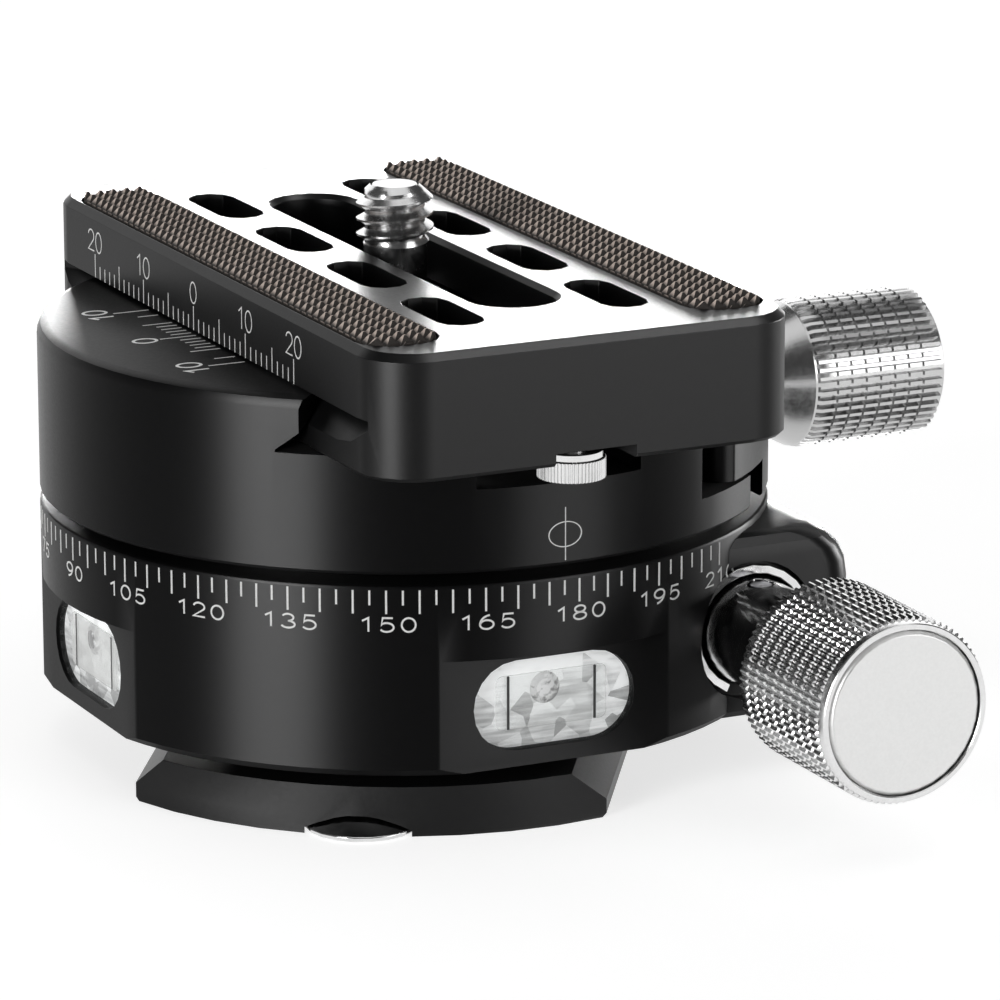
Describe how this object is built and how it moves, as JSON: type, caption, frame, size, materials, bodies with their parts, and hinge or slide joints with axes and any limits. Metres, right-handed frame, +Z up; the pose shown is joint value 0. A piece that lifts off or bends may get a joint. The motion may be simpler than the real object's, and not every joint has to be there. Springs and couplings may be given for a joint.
{
  "type": "geared panning adapter",
  "caption": "Round clamp with a quick-release plate that turns on a dovetail foot through a knob-driven worm and wheel.",
  "frame": {"origin": "on the pan axis, in the plane of the dovetail foot's underside", "axes": "+Z up along the pan axis, +X along the clamp screw toward the clamp knob, -Y along the worm toward the drive knob"},
  "size_m": [0.0778, 0.0823, 0.0465],
  "materials": {
    "black_aluminium": "satin black anodised",
    "silver_aluminium": "silver anodised, ribbed and knurled",
    "bright_steel": "bright, turned",
    "dark_steel": "black oxide",
    "bronze": "bearing bronze, machined",
    "gear_steel": "ground",
    "washer_plastic": "smooth low-friction",
    "clear_block": "clear acrylic",
    "vial_fluid": "vial with clear fluid",
    "grip_rubber": "matt taupe",
    "cap_metal": "fine satin silver"
  },
  "bodies": {
    "base": {"dovetail_foot": "black_aluminium", "tripod_bush": "bright_steel", "foot_screw_1": "dark_steel", "foot_screw_2": "dark_steel", "foot_screw_3": "dark_steel", "foot_screw_4": "dark_steel", "foot_stop_screw_front": "bright_steel", "foot_stop_screw_rear": "bright_steel", "lower_housing": "black_aluminium", "front_vial_block": "clear_block", "left_vial_block": "clear_block", "front_vial_tube": "vial_fluid", "left_vial_tube": "vial_fluid", "thrust_washer": "washer_plastic", "spindle_bush": "bronze", "worm_rear_bush": "bronze", "eccentric_sleeve": "bright_steel", "sleeve_grub_screw": "dark_steel", "sleeve_circlip": "bright_steel"},
    "worm_drive": {"worm_shaft": "gear_steel", "drive_knob": "silver_aluminium", "drive_knob_screw": "dark_steel", "drive_knob_cap": "cap_metal"},
    "upper_assembly": {"upper_body": "black_aluminium", "pan_spindle": "gear_steel", "spindle_nut": "dark_steel", "worm_wheel": "bronze", "wheel_key": "gear_steel", "body_screw_1": "dark_steel", "body_screw_2": "dark_steel", "body_screw_3": "dark_steel", "body_screw_4": "dark_steel"},
    "jaw": {"moving_jaw": "black_aluminium", "jaw_guide_pin_front": "gear_steel", "jaw_guide_pin_rear": "gear_steel"},
    "clamp_knob_and_screw": {"clamp_knob": "silver_aluminium", "clamp_screw": "gear_steel", "clamp_screw_clip": "dark_steel", "clamp_knob_washer": "washer_plastic"},
    "plate": {"quick_release_plate": "black_aluminium", "grip_pad_left": "grip_rubber", "grip_pad_right": "grip_rubber", "plate_stop_screw_near": "bright_steel", "plate_stop_screw_far": "bright_steel"},
    "screw_slider": {"screw_retainer": "dark_steel"},
    "mounting_screw": {"camera_screw": "gear_steel"}
  },
  "joints": [
    {"name": "pan", "type": "hinge", "parent": "base", "child": "upper_assembly", "pos_m": [0, 0, 0], "axis": [0, 0, 1], "continuous": true},
    {"name": "worm_spin", "type": "hinge", "parent": "base", "child": "worm_drive", "pos_m": [0.0195, 0, 0.0126], "axis": [0, -1, 0], "continuous": true},
    {"name": "clamp_turn", "type": "hinge", "parent": "jaw", "child": "clamp_knob_and_screw", "pos_m": [0, 0, 0.0269], "axis": [1, 0, 0], "range_deg": [0, 1440]},
    {"name": "jaw_slide", "type": "slide", "parent": "upper_assembly", "child": "jaw", "axis": [1, 0, 0], "range_m": [0, 0.0032]},
    {"name": "plate_slide", "type": "slide", "parent": "upper_assembly", "child": "plate", "axis": [0, 1, 0], "range_m": [-0.0033, 0.0075]},
    {"name": "screw_slide", "type": "slide", "parent": "plate", "child": "screw_slider", "axis": [0, 1, 0], "range_m": [-0.022, 0.016]},
    {"name": "screw_turn", "type": "hinge", "parent": "screw_slider", "child": "mounting_screw", "pos_m": [-0.00035, 0.0008, 0.03165], "axis": [0, 0, 1], "continuous": true}
  ],
  "couplings": [
    {"joint": "worm_spin", "follows": "pan", "ratio": 40},
    {"joint": "clamp_turn", "follows": "jaw_slide", "rad_per_m": 7854}
  ]
}
